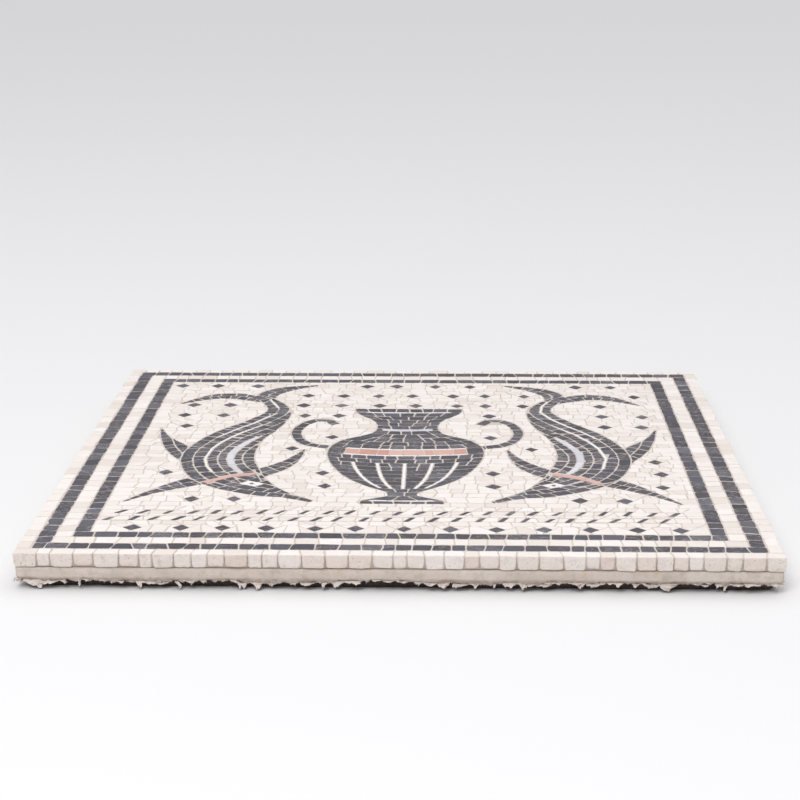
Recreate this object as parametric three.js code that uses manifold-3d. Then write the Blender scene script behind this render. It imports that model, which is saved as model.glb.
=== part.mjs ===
// Mosaic panel lying on its back: hand-cut stones in courses on a cast mortar slab.
// Millimetres, +Z up, front edge towards -Y, origin at the middle of the underside.
import * as THREE from "three";
import { mergeVertices } from "three/addons/utils/BufferGeometryUtils.js";
import Module from "manifold-3d";

const wasm = await Module();
wasm.setup();

// The panel
const PANEL_WIDTH = 450;
const PANEL_DEPTH = 427;
const STONE_HEIGHT = 9;
const BED_THICKNESS = 6.3;
const ROUGH_THICKNESS = 7.4;
const SEAT_GAP = 0.3;

// The mortar slab stands in from the stones, and its rough underside stands in further
const BED_SETBACK = 1.2;
const ROUGH_SETBACK = 7;
const ROUGH_WANDER = 3;
const ROUGH_LUMP = 22;

// The border: four courses round the panel, from the outside in
const OUTER_WHITE_WIDTH = 9.2;
const OUTER_DARK_WIDTH = 9.7;
const MIDDLE_WHITE_WIDTH = 10.4;
const INNER_DARK_WIDTH = 9.4;
const BORDER_STONE = 11.2;
const STONE_VARIATION = 0.3;

// Joints between stones
const JOINT_WIDTH = 1;
const JOINT_DEPTH = 1.2;
const EDGE_JOINT_DEPTH = 5.5;

// The figures, in steps of the picture's grid: each point of a limb is x, y and half its width
const SPLINE_STEPS = 2;
const DOLPHIN_BODY = [
  [-163, -332, 5.7], [-212, -298, 14], [-266, -263, 37], [-332, -183, 66], [-366, -63, 72],
  [-346, 63, 60], [-298, 172, 43], [-275, 269, 26], [-309, 355, 17], [-338, 383, 14],
];
const DORSAL_FIN = [[-395, -80, 43], [-452, -6, 26], [-486, 63, 11], [-506, 132, 2.3]];
const OUTER_FLIPPER = [[-338, -177, 31], [-406, -229, 23], [-458, -280, 11], [-504, -338, 2.3]];
const INNER_FLIPPER = [[-298, -189, 26], [-240, -126, 20], [-212, -63, 10], [-200, -11, 2.3]];
const OUTER_FLUKE = [[-315, 349, 17], [-378, 383, 23], [-435, 372, 17], [-492, 320, 2.3]];
const INNER_FLUKE = [[-309, 338, 17], [-309, 401, 23], [-269, 446, 17], [-206, 475, 2.3]];
const DOLPHIN = [DOLPHIN_BODY, DORSAL_FIN, OUTER_FLIPPER, INNER_FLIPPER, OUTER_FLUKE, INNER_FLUKE];
const VASE_PROFILE = [
  [0, -343, 77], [0, -323, 74], [0, -300, 31], [0, -278, 29], [0, -246, 63],
  [0, -189, 109], [0, -103, 143], [0, -17, 155], [0, 52, 132], [0, 97, 77],
  [0, 143, 63], [0, 195, 72], [0, 240, 103], [0, 269, 114], [0, 286, 114],
];
const VASE_HANDLE = [
  [137, 0, 11], [200, 29, 11], [226, 103, 11], [209, 177, 11], [172, 200, 11], [149, 166, 11],
];
const VASE_BAND = [[-120, -20, 17], [-57, -29, 17], [0, -31, 17], [57, -29, 17], [120, -20, 17]];

// Levels, from the underside up
const ROUGH_TOP = ROUGH_THICKNESS;
const BED_TOP = ROUGH_TOP + BED_THICKNESS;
const STONE_FLOOR = BED_TOP + SEAT_GAP;

// A course's place: how far its outer edge stands in from the panel's edge
const OUTER_DARK_INSET = OUTER_WHITE_WIDTH;
const MIDDLE_WHITE_INSET = OUTER_DARK_INSET + OUTER_DARK_WIDTH;
const INNER_DARK_INSET = MIDDLE_WHITE_INSET + MIDDLE_WHITE_WIDTH;
const FIELD_INSET = INNER_DARK_INSET + INNER_DARK_WIDTH;
const FIELD_WIDTH = PANEL_WIDTH - 2 * FIELD_INSET - SEAT_GAP;
const FIELD_DEPTH = PANEL_DEPTH - 2 * FIELD_INSET - SEAT_GAP;

// The picture's own grid of steps, and one step in millimetres where the picture fits the field
const PICTURE_STEPS_WIDE = 1066;
const PICTURE_STEPS_DEEP = 1000;
const PICTURE_STEP = Math.min(FIELD_WIDTH / PICTURE_STEPS_WIDE, FIELD_DEPTH / PICTURE_STEPS_DEEP);

const WHITE_LIMESTONE = { color: 0xf1e9e4, roughness: 0.75, metalness: 0 };
const DARK_SLATE = { color: 0x55545c, roughness: 0.65, metalness: 0 };
const TERRACOTTA_STONE = { color: 0xcf9f92, roughness: 0.75, metalness: 0 };
const LIME_MORTAR = { color: 0xc9beb2, roughness: 0.95, metalness: 0 };

const panel = new THREE.Group();

function addPiece(name, geometry, finish) {
  const mesh = new THREE.Mesh(geometry, new THREE.MeshStandardMaterial(finish));
  mesh.name = name;
  panel.add(mesh);
  return mesh;
}

// A value from 0 to 1 that looks random and is the same each time.
function scatter(seed) {
  const wave = Math.sin(seed * 12.9898 + 4.1414) * 43758.5453;
  return wave - Math.floor(wave);
}

function extrude(shape, depth) {
  return new THREE.ExtrudeGeometry(shape, { depth, bevelEnabled: false });
}

function toSolid(geometry) {
  const bare = geometry.clone();
  bare.deleteAttribute("normal");
  bare.deleteAttribute("uv");
  const merged = mergeVertices(bare, 1e-4);
  const vertProperties = merged.attributes.position.array;
  const triVerts = new Uint32Array(merged.index.array);
  return new wasm.Manifold(new wasm.Mesh({ numProp: 3, vertProperties, triVerts }));
}

function toGeometry(solid) {
  const { vertProperties, triVerts } = solid.getMesh();
  const geometry = new THREE.BufferGeometry();
  geometry.setAttribute("position", new THREE.BufferAttribute(vertProperties, 3));
  geometry.setIndex(new THREE.BufferAttribute(triVerts, 1));
  geometry.computeVertexNormals();
  return geometry;
}

// Where the joints fall along a row of stones whose lengths vary: shares of the row, 0 and 1 included.
function jointPlaces(length, seed) {
  const count = Math.max(2, Math.round(length / BORDER_STONE));
  const lengths = [];
  for (let i = 0; i < count; i++) lengths.push(1 + STONE_VARIATION * (2 * scatter(seed + i) - 1));
  const total = lengths.reduce((sum, one) => sum + one, 0);
  const places = [0];
  for (const one of lengths) places.push(places[places.length - 1] + one / total);
  return places;
}

// The side of a row of stones: a bar with a V joint cut down between neighbours.
function rowProfile(length, jointDepth, seed) {
  const shape = new THREE.Shape();
  shape.moveTo(-length / 2, 0);
  shape.lineTo(length / 2, 0);
  shape.lineTo(length / 2, STONE_HEIGHT);
  const joints = jointPlaces(length, seed).slice(1, -1).reverse();
  for (const share of joints) {
    const x = (share - 0.5) * length;
    shape.lineTo(x + JOINT_WIDTH / 2, STONE_HEIGHT);
    shape.lineTo(x, STONE_HEIGHT - jointDepth);
    shape.lineTo(x - JOINT_WIDTH / 2, STONE_HEIGHT);
  }
  shape.lineTo(-length / 2, STONE_HEIGHT);
  shape.closePath();
  return shape;
}

// A straight row of stones along X, standing on z = 0, with its width centred on y = 0.
function rowOfStones(length, width, jointDepth, seed) {
  const row = extrude(rowProfile(length, jointDepth, seed), width);
  row.rotateX(Math.PI / 2);
  row.translate(0, width / 2, 0);
  return row;
}

// One course on all four sides: front and back rows run through, side rows stand between them.
function borderCourse(name, inset, width, jointDepth, finish, seed) {
  const laidWidth = width - SEAT_GAP;
  const middle = inset + width / 2;
  const longRow = PANEL_WIDTH - 2 * inset - (inset > 0 ? SEAT_GAP : 0);
  const sideRow = PANEL_DEPTH - 2 * (inset + width) - SEAT_GAP;
  const outer = inset > 0 ? middle : laidWidth / 2;
  const sides = [
    ["front", longRow, 0, -(PANEL_DEPTH / 2 - outer), 0],
    ["right", sideRow, PANEL_WIDTH / 2 - outer, 0, 1],
    ["back", longRow, 0, PANEL_DEPTH / 2 - outer, 2],
    ["left", sideRow, -(PANEL_WIDTH / 2 - outer), 0, 3],
  ];
  for (const [side, length, x, y, quarter] of sides) {
    const row = rowOfStones(length, laidWidth, jointDepth, seed + 97 * quarter);
    const mesh = addPiece(`${name}_${side}`, row, finish);
    mesh.position.set(x, y, STONE_FLOOR);
    mesh.rotation.z = (quarter * Math.PI) / 2;
  }
}

// The outline of a limb: both sides of its middle line, out by its half width and by a margin.
function limbOutline(points, margin, mirrored) {
  const controls = points.map(([x, y, half]) => {
    return new THREE.Vector3(mirrored ? -x : x, y, half).multiplyScalar(PICTURE_STEP);
  });
  const curve = new THREE.CatmullRomCurve3(controls, false, "catmullrom", 0.5);
  const count = (points.length - 1) * SPLINE_STEPS;
  const left = [];
  const right = [];
  for (let i = 0; i <= count; i++) {
    const at = curve.getPoint(i / count);
    const ahead = curve.getTangent(i / count);
    const across = new THREE.Vector2(-ahead.y, ahead.x).normalize();
    const along = new THREE.Vector2(ahead.x, ahead.y).normalize();
    const end = i === 0 ? -margin : i === count ? margin : 0;
    const middle = new THREE.Vector2(at.x, at.y).addScaledVector(along, end);
    left.push(middle.clone().addScaledVector(across, at.z + margin));
    right.push(middle.clone().addScaledVector(across, -at.z - margin));
  }
  return left.concat(right.reverse());
}

// A figure as one solid: its limbs joined, standing from one level to another.
function figure(limbs, floor, height, margin) {
  let whole = null;
  for (const { points, mirrored } of limbs) {
    const slab = extrude(new THREE.Shape(limbOutline(points, margin, mirrored)), height);
    slab.translate(0, 0, floor);
    const solid = toSolid(slab);
    whole = whole ? whole.add(solid) : solid;
  }
  return whole;
}

const leftDolphin = DOLPHIN.map((points) => ({ points, mirrored: false }));
const rightDolphin = DOLPHIN.map((points) => ({ points, mirrored: true }));
const vase = [
  { points: VASE_PROFILE, mirrored: false },
  { points: VASE_HANDLE, mirrored: false },
  { points: VASE_HANDLE, mirrored: true },
];
const vaseBand = [{ points: VASE_BAND, mirrored: false }];

const OVERSHOOT = 1;

// The hole a figure leaves in what surrounds it.
function pocket(limbs) {
  return figure(limbs, STONE_FLOOR - OVERSHOOT, STONE_HEIGHT + 2 * OVERSHOOT, SEAT_GAP);
}

function laidFigure(limbs) {
  return figure(limbs, STONE_FLOOR, STONE_HEIGHT, 0);
}

// The white ground inside the border, with the figures' places cut out of it.
function whiteGround() {
  const slab = new THREE.BoxGeometry(FIELD_WIDTH, FIELD_DEPTH, STONE_HEIGHT);
  slab.translate(0, 0, STONE_FLOOR + STONE_HEIGHT / 2);
  let ground = toSolid(slab);
  for (const limbs of [leftDolphin, rightDolphin, vase]) ground = ground.subtract(pocket(limbs));
  return ground;
}

// The ragged edge of the underside: a rectangle whose sides wander in and out, one lump after another.
function raggedOutline(width, depth, wander, seed) {
  const shape = new THREE.Shape();
  const corners = [
    [-width / 2, -depth / 2], [width / 2, -depth / 2],
    [width / 2, depth / 2], [-width / 2, depth / 2],
  ];
  corners.forEach(([x, y], side) => {
    const [nextX, nextY] = corners[(side + 1) % corners.length];
    const length = Math.hypot(nextX - x, nextY - y);
    const lumps = Math.round(length / ROUGH_LUMP);
    for (let i = 0; i < lumps; i++) {
      const share = i / lumps;
      const inward = wander * scatter(seed + 31 * side + i);
      const px = x + (nextX - x) * share - ((nextY - y) / length) * inward;
      const py = y + (nextY - y) * share + ((nextX - x) / length) * inward;
      if (side === 0 && i === 0) shape.moveTo(px, py);
      else shape.lineTo(px, py);
    }
  });
  shape.closePath();
  return shape;
}

// The slab: a straight-sided bed on a rough layer that stands in further the lower it goes.
function mortarBed() {
  const bedWidth = PANEL_WIDTH - 2 * BED_SETBACK;
  const bedDepth = PANEL_DEPTH - 2 * BED_SETBACK;
  const bed = new THREE.BoxGeometry(bedWidth, bedDepth, BED_THICKNESS);
  bed.translate(0, 0, ROUGH_TOP + BED_THICKNESS / 2);
  let slab = toSolid(bed);
  const layers = 2;
  const layerHeight = ROUGH_THICKNESS / layers;
  for (let i = 0; i < layers; i++) {
    const setback = ROUGH_SETBACK * (1 - i / layers);
    const outline = raggedOutline(bedWidth - setback, bedDepth - setback, ROUGH_WANDER, 57 * i + 5);
    const layer = extrude(outline, layerHeight);
    layer.translate(0, 0, i * layerHeight);
    slab = slab.add(toSolid(layer));
  }
  return slab;
}

addPiece("mortar_bed", toGeometry(mortarBed()), LIME_MORTAR);

borderCourse("outer_white", 0, OUTER_WHITE_WIDTH, EDGE_JOINT_DEPTH, WHITE_LIMESTONE, 1);
borderCourse("outer_dark", OUTER_DARK_INSET, OUTER_DARK_WIDTH, JOINT_DEPTH, DARK_SLATE, 2);
borderCourse("middle_white", MIDDLE_WHITE_INSET, MIDDLE_WHITE_WIDTH, JOINT_DEPTH, WHITE_LIMESTONE, 3);
borderCourse("inner_dark", INNER_DARK_INSET, INNER_DARK_WIDTH, JOINT_DEPTH, DARK_SLATE, 4);

addPiece("white_ground", toGeometry(whiteGround()), WHITE_LIMESTONE);
addPiece("left_dolphin", toGeometry(laidFigure(leftDolphin)), DARK_SLATE);
addPiece("right_dolphin", toGeometry(laidFigure(rightDolphin)), DARK_SLATE);
addPiece("vase", toGeometry(laidFigure(vase).subtract(pocket(vaseBand))), DARK_SLATE);
addPiece("vase_band", toGeometry(laidFigure(vaseBand)), TERRACOTTA_STONE);

export default panel;
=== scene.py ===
import math
from functools import partial

import bpy
import numpy as np
from mathutils import Matrix, Vector


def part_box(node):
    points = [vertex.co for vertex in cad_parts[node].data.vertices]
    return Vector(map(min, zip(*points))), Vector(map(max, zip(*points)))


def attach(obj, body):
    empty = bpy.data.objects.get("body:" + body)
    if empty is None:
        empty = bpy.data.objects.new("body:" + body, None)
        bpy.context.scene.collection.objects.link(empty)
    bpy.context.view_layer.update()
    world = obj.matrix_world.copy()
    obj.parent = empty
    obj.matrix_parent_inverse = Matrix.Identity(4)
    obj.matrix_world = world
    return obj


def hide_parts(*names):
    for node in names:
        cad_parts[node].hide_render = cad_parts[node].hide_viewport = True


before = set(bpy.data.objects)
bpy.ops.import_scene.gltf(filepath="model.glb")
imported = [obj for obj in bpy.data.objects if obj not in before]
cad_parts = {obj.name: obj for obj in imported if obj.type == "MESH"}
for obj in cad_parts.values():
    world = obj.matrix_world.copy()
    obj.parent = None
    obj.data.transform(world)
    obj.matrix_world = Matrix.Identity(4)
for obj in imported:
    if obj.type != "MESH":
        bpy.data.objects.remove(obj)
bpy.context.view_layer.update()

# Lengths below are in millimetres, and MM turns them to metres where a mesh is made.
MM = 0.001


def node_box(name):
    """A node's lowest and highest corners in millimetres."""
    low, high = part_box(name)
    return np.array(low) / MM, np.array(high) / MM


FIELD_LOW, FIELD_HIGH = node_box("white_ground")
SLAB_TOP = node_box("mortar_bed")[1][2]
STONE_FLOOR = FIELD_LOW[2]
STONE_TOP = FIELD_HIGH[2]
PANEL_HIGH = np.array([node_box("outer_white_right")[1][0], node_box("outer_white_back")[1][1]])
PANEL_WIDTH, PANEL_DEPTH = 2 * PANEL_HIGH

# How each kind of stone is set by hand: its joint, and how far the middles of its edges stray
SETTING = {
    "edge": (0.75, 0.25), "white course": (0.8, 0.16), "dark course": (0.75, 0.2), "ground": (0.7, 0.16),
    "figure": (0.95, 0.16), "band": (0.7, 0.16), "sliver": (0.25, 0.04), "accent": (0.4, 0.08),
    "eye": (0.3, 0.05), "diamond": (0.35, 0.1), "stroke": (0.4, 0.08),
}

# A stone: how deep it goes in the mesh, how far its edge is worn, how much of its corners is nipped off, and how
# far its face lies too low and tilts
STONE_ROOT = 2.4
ARRIS = 0.3
CORNER = 0.45
SLATE_CORNER = 0.7
FACE_DROP = 0.22
FACE_TILT = 0.009

# What is too small or too thin to lay, and how exactly stones are cut to an outline
LEAST_AREA = 5.0
LEAST_WIDTH = 0.55
LEAST_EDGE = 0.45
ALLOWED_OVERLAP = 0.35
BURIED_UNDER = 0.3
SECOND_PART_REACH = 1.2

# The border's stones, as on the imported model
BORDER_STONE = 11.2
STONE_VARIATION = 0.3
BORDER_PLAY = (-0.33, 0.02)
SIDE_SEED_STEP = 97

# The white ground: a tall first course, then two low ones and a taller one that holds diamonds, over and over
DIAMOND_PITCH = 27.5
DIAMOND_COURSE = 10.9
PLAIN_COURSE = (DIAMOND_PITCH - DIAMOND_COURSE) / 2
FIRST_DIAMOND = 8.0
GROUND_STONE = 11.0
DIAMOND_ROWS = 13
DIAMOND_HALF_WIDTH = 5.5
DIAMOND_HALF_DEPTH = 5.6
DIAMOND_STRAY = 1.7
DIAMOND_MARGIN = 5.5
GROUND_LENGTHS = (0.72, 1.3)
JOINT_SWAY = 0.45

# The strokes: each row's distance from the field's front and from its left side, then their pitch and sizes
STROKE_ROWS = ((21.0, 9.0), (33.5, 16.0))
STROKE_PITCH = 14.2
STROKE_TALL, STROKE_LEAN, STROKE_HALF = (6.5, 9.0), (4.0, 6.5), (1.5, 1.95)
CLEAR_OF_FIGURES, CLEAR_OF_STROKES = 6.5, 6.0

# The figures: each point of a limb is x, y and half its width in steps of the picture's grid, as on the packed
# model
PICTURE_STEPS_DEEP = 1000
PICTURE_STEP = (FIELD_HIGH[1] - FIELD_LOW[1]) / PICTURE_STEPS_DEEP
LIMB_STEPS = 12
LAYING_STEPS = 24


def on_panel(points):
    """Points of the picture's grid in millimetres."""
    return [tuple(PICTURE_STEP * value for value in point) for point in points]


DOLPHIN_BODY = on_panel([
    (-163, -332, 5.7), (-212, -298, 14), (-266, -263, 37), (-332, -183, 66), (-366, -63, 72),
    (-346, 63, 60), (-298, 172, 43), (-275, 269, 26), (-309, 355, 17), (-338, 383, 14),
])
DORSAL_FIN = on_panel([(-395, -80, 43), (-452, -6, 26), (-486, 63, 11), (-506, 132, 2.3)])
OUTER_FLIPPER = on_panel([(-338, -177, 31), (-406, -229, 23), (-458, -280, 11), (-504, -338, 2.3)])
INNER_FLIPPER = on_panel([(-298, -189, 26), (-240, -126, 20), (-212, -63, 10), (-200, -11, 2.3)])
OUTER_FLUKE = on_panel([(-315, 349, 17), (-378, 383, 23), (-435, 372, 17), (-492, 320, 2.3)])
INNER_FLUKE = on_panel([(-309, 338, 17), (-309, 401, 23), (-269, 446, 17), (-206, 475, 2.3)])
DOLPHIN_FINS = [DORSAL_FIN, OUTER_FLIPPER, INNER_FLIPPER, OUTER_FLUKE, INNER_FLUKE]
VASE_PROFILE = on_panel([
    (0, -343, 77), (0, -323, 74), (0, -300, 31), (0, -278, 29), (0, -246, 63),
    (0, -189, 109), (0, -103, 143), (0, -17, 155), (0, 52, 132), (0, 97, 77),
    (0, 143, 63), (0, 195, 72), (0, 240, 103), (0, 269, 114), (0, 286, 114),
])
VASE_HANDLE = on_panel([
    (137, 0, 11), (200, 29, 11), (226, 103, 11), (209, 177, 11), (172, 200, 11), (149, 166, 11),
])
FIGURE_COURSE = 8.4
FIGURE_STONE = 10.0
FIN_STONE = 8.5
HANDLE_STONE = 9.5
FIGURE_LENGTHS = (0.72, 1.28)

# A dolphin's stripes: their stone, the shares of its length where they start and end, how many courses in from its
# outer side they lie, and half their width. The collar: where along it lies, its lean and half its width.
STRIPES = (("white", 0.35, 0.66, 2, 0.85), ("white", 0.5, 0.93, 1, 0.75), ("lilac", 0.34, 0.58, 4, 2.4))
COLLAR = (0.315, 5, 2.4)
STRIPE_COURSE = 9.0
STRIPE_STONE = {"white": 19.0, "lilac": 15.0, "red": 15.0}
EYE_PLACE = np.array([-95.0, -83.0])
PUPIL_SIDES = 6
PUPIL_RADIUS = 1.7

# The vase, from its foot up: each stretch of rows ends at a height and is of one stone
HOOP_SAG = 0.13
HOOP_FADE = 25.0
BAND_REACH = 0.78
VASE_STRETCHES = [
    (-114.0, "slate"), (-112.2, "white"), (-11.5, "slate"), (-9.7, "white"), (2.1, "red"), (3.9, "white"),
    (44.0, "slate"), (48.5, "lilac"), (90.2, "slate"), (92.0, "white"), (99.9, "slate"),
]
FLUTES = (-0.68, -0.36, 0.0, 0.36, 0.68)
FLUTE_LOW, FLUTE_HIGH = -88.0, -26.0
FLUTE_HALF = 0.95

# The mortar between the stones
GROUT_STEP = 1.6
GROUT_MARGIN = 1.7
GROUT_DROP = 0.42
GROUT_FLOOR = 0.4

# The slab, from the stones' underside to the floor
BED_SETBACK = 0.9
ROUGH_HEIGHT = 7.4
UNDERSIDE_LID = 3.2
SLAB_CORNER = 2.5
SLAB_POINTS, SIDE_ROWS, LIP_ROWS = 2200, 8, 7
SLAB_SINK = 0.05
LIP_MIDDLE, LIP_LOWEST = 6.1, 2.6
FLAKES, FLAKE_COLUMNS, FLAKE_ROWS = 330, 9, 6
CRUMBS, CRUMB_SIDES = 420, 6

# Rings behind the lip: how far in each lies, and its height as a share of the lip's or in millimetres
RECESS_RINGS = ((4.2, 0.9), (5.2, 0.8), (6.0, 0.5), (6.8, 0.2), (8.0, 0.0))
UNDER_RINGS = ((12.5, 0.2), (14.0, UNDERSIDE_LID - 0.6))

# Noise in layers: each layer's height and blotch size in millimetres, and its seed
GROUT_WAVES = ((0.1, 5, 21), (0.05, 2.1, 22))
LIP_WAVES = ((0.5, 21, 33), (0.35, 6.5, 35))
LIP_SWELLS = ((0.9, 19, 39), (0.8, 7, 40))
LIP_CRUMBS = ((0.55, 2.7, 43), (0.45, 1.3, 44))
UNDERSIDE_WAVES = ((0.9, 23, 61), (0.7, 8, 62), (0.5, 4, 63))

rng = np.random.default_rng(41)
NOISE_TABLE = np.random.default_rng(7).uniform(-1, 1, (1024, 1024))


# Outlines

def scatter(seed):
    """The part's own repeatable number from 0 to 1: the fraction of a large sine."""
    wave = math.sin(seed * 12.9898 + 4.1414) * 43758.5453
    return wave - math.floor(wave)


def spline(points, steps):
    """A smooth line through the points: on each span a cubic whose slopes are half the neighbours' distance."""
    p = np.array(points, float)
    p = np.vstack([2 * p[0] - p[1], p, 2 * p[-1] - p[-2]])
    t = np.linspace(0, 1, steps, endpoint=False)[None, :, None]
    a, b, c, d = p[:-3, None], p[1:-2, None], p[2:-1, None], p[3:, None]
    slope_b = (c - a) / 2
    slope_c = (d - b) / 2
    span = (2 * b - 2 * c + slope_b + slope_c) * t**3
    span = span + (3 * c - 3 * b - 2 * slope_b - slope_c) * t**2 + slope_b * t + b
    return np.vstack([span.reshape(-1, p.shape[1]), p[-2:-1]])


def along_and_across(line):
    """Unit vectors along a plane line and a quarter turn to its left."""
    ahead = np.gradient(line, axis=0)
    ahead = ahead / np.maximum(np.linalg.norm(ahead, axis=1), 1e-9)[:, None]
    return ahead, np.stack([-ahead[:, 1], ahead[:, 0]], 1)


def limb_outline(points, steps=LIMB_STEPS):
    """A limb's closed outline: its middle line moved out to both sides by its half width."""
    line = spline(points, steps)
    across = along_and_across(line[:, :2])[1] * line[:, 2:3]
    return np.vstack([line[:, :2] - across, (line[:, :2] + across)[::-1]])


def mirrored(points):
    """A limb's points on the other side of the picture's middle line."""
    return [(-x, y, half) for x, y, half in points]


def stripe_on(limb, start, end, side, joint, half, count=9):
    """
    A narrow stripe between two shares of a limb's length, along a joint counted in courses from one side. Its
    width follows the root of a sine, so that its ends are blunt.
    """
    line = spline(limb, LIMB_STEPS)
    across = along_and_across(line[:, :2])[1] * side
    at = np.linspace(start, end, count) * (len(line) - 1)
    index = np.arange(len(line))
    middle = line[:, :2] + across * (line[:, 2] - joint * FIGURE_COURSE)[:, None]
    x = np.interp(at, index, middle[:, 0])
    y = np.interp(at, index, middle[:, 1])
    width = half * np.sin(np.linspace(0.12, 0.88, count) * math.pi) ** 0.5
    return list(zip(x, y, width))


def band_across(limb, share, lean, half, reach=0.86, count=5):
    """A curved stripe across a limb at a share of its length, with its middle leaning ahead."""
    line = spline(limb, LIMB_STEPS)
    ahead, across = along_and_across(line[:, :2])
    at = int(share * (len(line) - 1))
    side = np.linspace(-reach, reach, count)
    middle = line[at, :2] + across[at] * (side * line[at, 2])[:, None]
    middle = middle + ahead[at] * (lean * (1 - side**2))[:, None]
    return [(x, y, half) for x, y in middle]


# Cutting stones

def stones_from(quads):
    """Stones as an array of corner lists, wound anticlockwise, with how many corners each has."""
    quads = np.asarray(quads, float)
    x, y = quads[..., 0], quads[..., 1]
    area = (x * np.roll(y, -1, 1) - y * np.roll(x, -1, 1)).sum(1)
    quads = np.where((area < 0)[:, None, None], quads[:, ::-1], quads)
    return quads, np.full(len(quads), quads.shape[1])


def join_stones(*groups):
    """Groups of stones as one, each stone with room for the corners of the one that has most."""
    groups = [g for g in groups if len(g[1])] or [(np.zeros((0, 4, 2)), np.zeros(0, int))]
    room = max(corners.shape[1] for corners, _ in groups)
    corners = [np.pad(corners, ((0, 0), (0, room - corners.shape[1]), (0, 0))) for corners, _ in groups]
    return np.concatenate(corners), np.concatenate([count for _, count in groups])


def used(stones):
    """Which of the corner places of each stone hold a corner."""
    return np.arange(stones[0].shape[1])[None] < stones[1][:, None]


def next_corner(stones):
    """The corner that follows each corner round its stone."""
    corners, count = stones
    index = np.arange(corners.shape[1])[None]
    following = np.where(index + 1 < count[:, None], index + 1, 0)
    return np.take_along_axis(corners, following[..., None], 1)


def area_of(stones):
    """Areas: half the sum of each corner's cross product with the next one."""
    corners, following = stones[0], next_corner(stones)
    cross = corners[..., 0] * following[..., 1] - corners[..., 1] * following[..., 0]
    return 0.5 * (cross * used(stones)).sum(1)


def centre_of(stones):
    """The mean of each stone's corners."""
    return (stones[0] * used(stones)[..., None]).sum(1) / np.maximum(stones[1], 1)[:, None]


def reach_of(stones, centre):
    """How far each stone's corners reach from its middle."""
    return np.where(used(stones), np.linalg.norm(stones[0] - centre[:, None], axis=-1), 0).max(1)


def kept_first(corners, mask):
    """Corner lists that keep the masked corners alone, in their order, with how many those are."""
    order = np.argsort(~mask, axis=1, kind="stable")
    return np.take_along_axis(corners, order[..., None], 1), mask.sum(1)


def cut_by_line(stones, point, outward):
    """
    Each stone without what lies on the outward side of its own line: the corners behind the line, and the places
    where edges cross it.
    """
    corners, count = stones
    if not len(count):
        return stones
    following = next_corner(stones)
    here = ((corners - point[:, None]) * outward[:, None]).sum(-1)
    there = ((following - point[:, None]) * outward[:, None]).sum(-1)
    kept = (here <= 0) & used(stones)
    crossed = ((here <= 0) != (there <= 0)) & used(stones)
    share = here / np.where(np.abs(here - there) < 1e-12, 1, here - there)
    hit = corners + (following - corners) * share[..., None]
    both = np.stack([corners, hit], 2).reshape(len(count), -1, 2)
    both, count = kept_first(both, np.stack([kept, crossed], 2).reshape(len(count), -1))
    return both[:, : max(3, count.max())], count


def without_short_edges(stones):
    """The stones without corners that nearly touch the next one."""
    length = np.linalg.norm(next_corner(stones) - stones[0], axis=-1)
    return kept_first(stones[0], (length > LEAST_EDGE) & used(stones))


def worth_laying(stones, least_area=LEAST_AREA, least_width=LEAST_WIDTH):
    """The stones a hand could set: three corners or more, big enough, and no sliver by area over way round."""
    stones = without_short_edges(stones)
    around = (np.linalg.norm(next_corner(stones) - stones[0], axis=-1) * used(stones)).sum(1)
    area = area_of(stones)
    good = (stones[1] >= 3) & (area > least_area) & (area / np.maximum(around, 1e-9) > least_width)
    return pick(stones, good)


def distance_to(outline, points):
    """Each point's distance to a closed outline, negative inside, with the nearest place and way out there."""
    start = outline
    edge = np.roll(outline, -1, 0) - start
    length2 = np.maximum((edge**2).sum(1), 1e-12)
    gap = points[:, None] - start[None]
    share = np.clip((gap * edge).sum(-1) / length2, 0, 1)
    nearest = start + edge * share[..., None]
    away = points[:, None] - nearest
    distance = np.linalg.norm(away, axis=-1)
    which = distance.argmin(1)
    row = np.arange(len(points))
    low, high = start[:, 1], start[:, 1] + edge[:, 1]
    py = points[:, 1][:, None]
    spans = (low <= py) != (high <= py)
    crossing = start[:, 0] + edge[:, 0] * (py - low) / np.where(edge[:, 1] == 0, 1, edge[:, 1])
    inside = ((spans & (crossing > points[:, 0][:, None])).sum(1) % 2) == 1
    sign = np.where(inside, -1.0, 1.0)
    d = distance[row, which]
    turn = np.sign((start[:, 0] * edge[:, 1] - start[:, 1] * edge[:, 0]).sum())
    flat = np.stack([edge[:, 1], -edge[:, 0]], 1)[which] * turn
    flat = flat / np.maximum(np.linalg.norm(flat, axis=1), 1e-9)[:, None]
    way = away[row, which] * sign[:, None] / np.maximum(d, 1e-9)[:, None]
    way = np.where((d > 0.05)[:, None], way, flat)
    return d * sign, nearest[row, which], way


def pick(stones, mask):
    """The stones that a mask names."""
    return stones[0][mask], stones[1][mask]


def furthest_corner(stones, outline, side):
    """
    Each stone's corner furthest outside (1) or inside (-1) an outline: how far it is, the outline's nearest place
    and the way out there.
    """
    corners = stones[0]
    distance, nearest, way = distance_to(outline, corners.reshape(-1, 2))
    distance = np.where(used(stones), side * distance.reshape(corners.shape[:2]), -np.inf)
    which = distance.argmax(1)
    row = np.arange(len(which))
    return distance.max(1), nearest.reshape(corners.shape)[row, which], way.reshape(corners.shape)[row, which]


def trimmed_outside(stones, outline):
    """Convex stones cut back until none of their corners reaches far into the outline."""
    for _ in range(2):
        if not len(stones[1]):
            return stones
        depth, point, way = furthest_corner(stones, outline, -1)
        deep = depth > ALLOWED_OVERLAP
        cut = cut_by_line(stones, point, -way)
        stones = join_stones(pick(stones, ~deep), pick(cut, deep))
    return stones


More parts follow.
